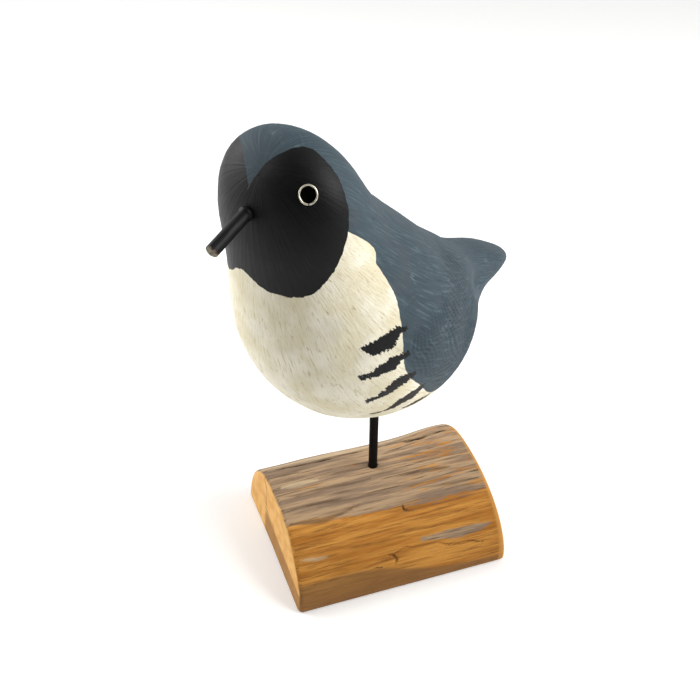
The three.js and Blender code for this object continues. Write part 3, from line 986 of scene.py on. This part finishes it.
def driftwood_base():
    points, faces = closed_skin(*log_rings())
    turn = Matrix.Rotation(radians(LOG_HEADING), 4, "Z")
    log = new_piece("driftwood_log", points, faces, turn)
    smooth = read_points(log.data)
    _, arch, weather = log_zones(smooth, read_normals(log.data))
    depth, _ = crack_at(smooth)
    push_out(log.data, log_relief(smooth, arch, weather, depth))
    drill = round_bar("drill", [(ROD_BOTTOM - 1, ROD_HOLE), (60, ROD_HOLE)], 48, Matrix.Identity(4))
    cut_with(log, [drill])
    mesh = log.data
    worn = read_points(mesh)
    end, _, weather = log_zones(worn, read_normals(mesh))
    in_hole = np.hypot(worn[:, 0], worn[:, 1]) < ROD_HOLE + 0.05
    _, dark = crack_at(worn)
    check, _ = path_distance(worn, END_CHECK)
    # Painted shade: the left cut end is darkened below a line some 8 to 11 mm up, from the middle towards the front.
    low_edge = 11 - 0.09 * (3.6 - worn[:, 1])
    lower_end_shade = 1 - smooth_step(worn[:, 2], low_edge - 0.8, low_edge + 0.8)
    lower_end_shade *= smooth_step(-worn[:, 0], 0, 10) * (1 - smooth_step(worn[:, 1], 2.5, 4.5))
    brown_edge = curve_value([(-45, 11.4), (-6, 10.4), (12, 6), (45, 3)], worn[:, 0])
    brown = 1 - smooth_step(worn[:, 2] - brown_edge, -0.8, 0.8)
    right_end = LOG["middle"] + LOG["length"] / 2 - math.tan(radians(SAW_SKEW)) * worn[:, 1]
    strip_width = 2.6 - 0.05 * worn[:, 2]
    strip = smooth_step(worn[:, 0] - right_end + strip_width, -0.5, 0.5)
    weather = np.maximum(weather, stained(worn, [GREY_STREAK]))
    store(mesh, "end", np.where(in_hole, 0, end))
    store(mesh, "strip", strip)
    store(mesh, "brown", brown)
    store(mesh, "dark", stained(worn, DARK_STAINS))
    store(mesh, "pale", stained(worn, PALE_STAINS))
    store(mesh, "weather", weather)
    # Painted shade: the drill hole's wall and rim take the cracks' near-black, a dark ring round the rod's foot.
    store(mesh, "crack", np.where(in_hole, 1, dark))
    store(mesh, "end_check_and_shade", np.maximum(lower_end_shade, 1 - smooth_step(check, 0.2, 0.7)))
    dress(log, driftwood(), "driftwood", "driftwood_base")


# Studio


def floor():
    half = 3000
    corners = [(-half, -half, 0), (half, -half, 0), (half, half, 0), (-half, half, 0)]
    sheet = new_piece("floor", corners, [(0, 1, 2, 3)])
    paper = Shader("paper", Roughness=0.9, Base_Color=(0.95, 0.95, 0.945, 1), Emission_Strength=0.12)
    paper.surface.inputs["Emission Color"].default_value = (1, 1, 1, 1)
    sheet.data.materials.append(paper.material)


CAMERA_AZIMUTH = 43
CAMERA_DROP = 44
CAMERA_PLACE = (127.9, -148.7, 270.8)
FOCAL_PIXELS = 900
PICTURE_PIXELS = 700
SENSOR = 36


def camera():
    data = bpy.data.cameras.new("camera")
    data.sensor_width = SENSOR
    data.lens = FOCAL_PIXELS / PICTURE_PIXELS * SENSOR
    data.clip_start = 0.01
    data.clip_end = 20
    made = bpy.data.objects.new("camera", data)
    made.location = Vector(CAMERA_PLACE) * MM
    made.rotation_euler = (radians(90 - CAMERA_DROP), 0, radians(CAMERA_AZIMUTH))
    bpy.context.scene.collection.objects.link(made)
    bpy.context.scene.camera = made


def area_light(name, place, aim, size, power, tint=(1, 1, 1)):
    data = bpy.data.lights.new(name, "AREA")
    data.shape = "DISK"
    data.size = size * MM
    data.energy = power
    data.color = tint
    made = bpy.data.objects.new(name, data)
    made.location = Vector(place) * MM
    made.rotation_euler = (Vector(aim) - Vector(place)).to_track_quat("-Z", "Y").to_euler()
    bpy.context.scene.collection.objects.link(made)


def light_tent():
    """White all round, and darker where the tent is open towards the front."""
    world = bpy.data.worlds.new("tent")
    bpy.context.scene.world = world
    world.use_nodes = True
    nodes, links = world.node_tree.nodes, world.node_tree.links
    way = nodes.new("ShaderNodeTexCoord")
    towards = nodes.new("ShaderNodeVectorMath")
    towards.operation = "DOT_PRODUCT"
    towards.inputs[1].default_value = heading_vector(CAMERA_AZIMUTH, CAMERA_DROP)
    opening = nodes.new("ShaderNodeMapRange")
    opening.interpolation_type = "SMOOTHSTEP"
    opening.inputs["From Min"].default_value = 0.35
    opening.inputs["From Max"].default_value = 0.85
    opening.inputs["To Min"].default_value = 0.72
    opening.inputs["To Max"].default_value = 0.04
    links.new(way.outputs["Generated"], towards.inputs[0])
    links.new(towards.outputs["Value"], opening.inputs["Value"])
    links.new(opening.outputs["Result"], nodes["Background"].inputs["Strength"])
    nodes["Background"].inputs["Color"].default_value = (1, 1, 0.99, 1)


def studio():
    bpy.context.scene.view_settings.view_transform = "Standard"
    floor()
    camera()
    light_tent()
    area_light("right_back", (420, 260, 480), (0, 0, 90), 420, 3.9)
    area_light("left", (-420, -160, 320), (0, 0, 90), 420, 2.1)


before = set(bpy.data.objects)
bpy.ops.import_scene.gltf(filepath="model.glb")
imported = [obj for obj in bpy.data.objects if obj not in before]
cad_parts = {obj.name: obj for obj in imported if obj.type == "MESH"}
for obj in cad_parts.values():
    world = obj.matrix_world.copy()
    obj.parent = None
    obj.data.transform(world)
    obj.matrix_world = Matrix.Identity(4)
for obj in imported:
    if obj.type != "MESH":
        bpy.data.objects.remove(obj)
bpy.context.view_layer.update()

studio()
carve_bird()
metal = ring_metal()
for side in EYES:
    eye_ring(side, metal)
beak()
rod()
driftwood_base()
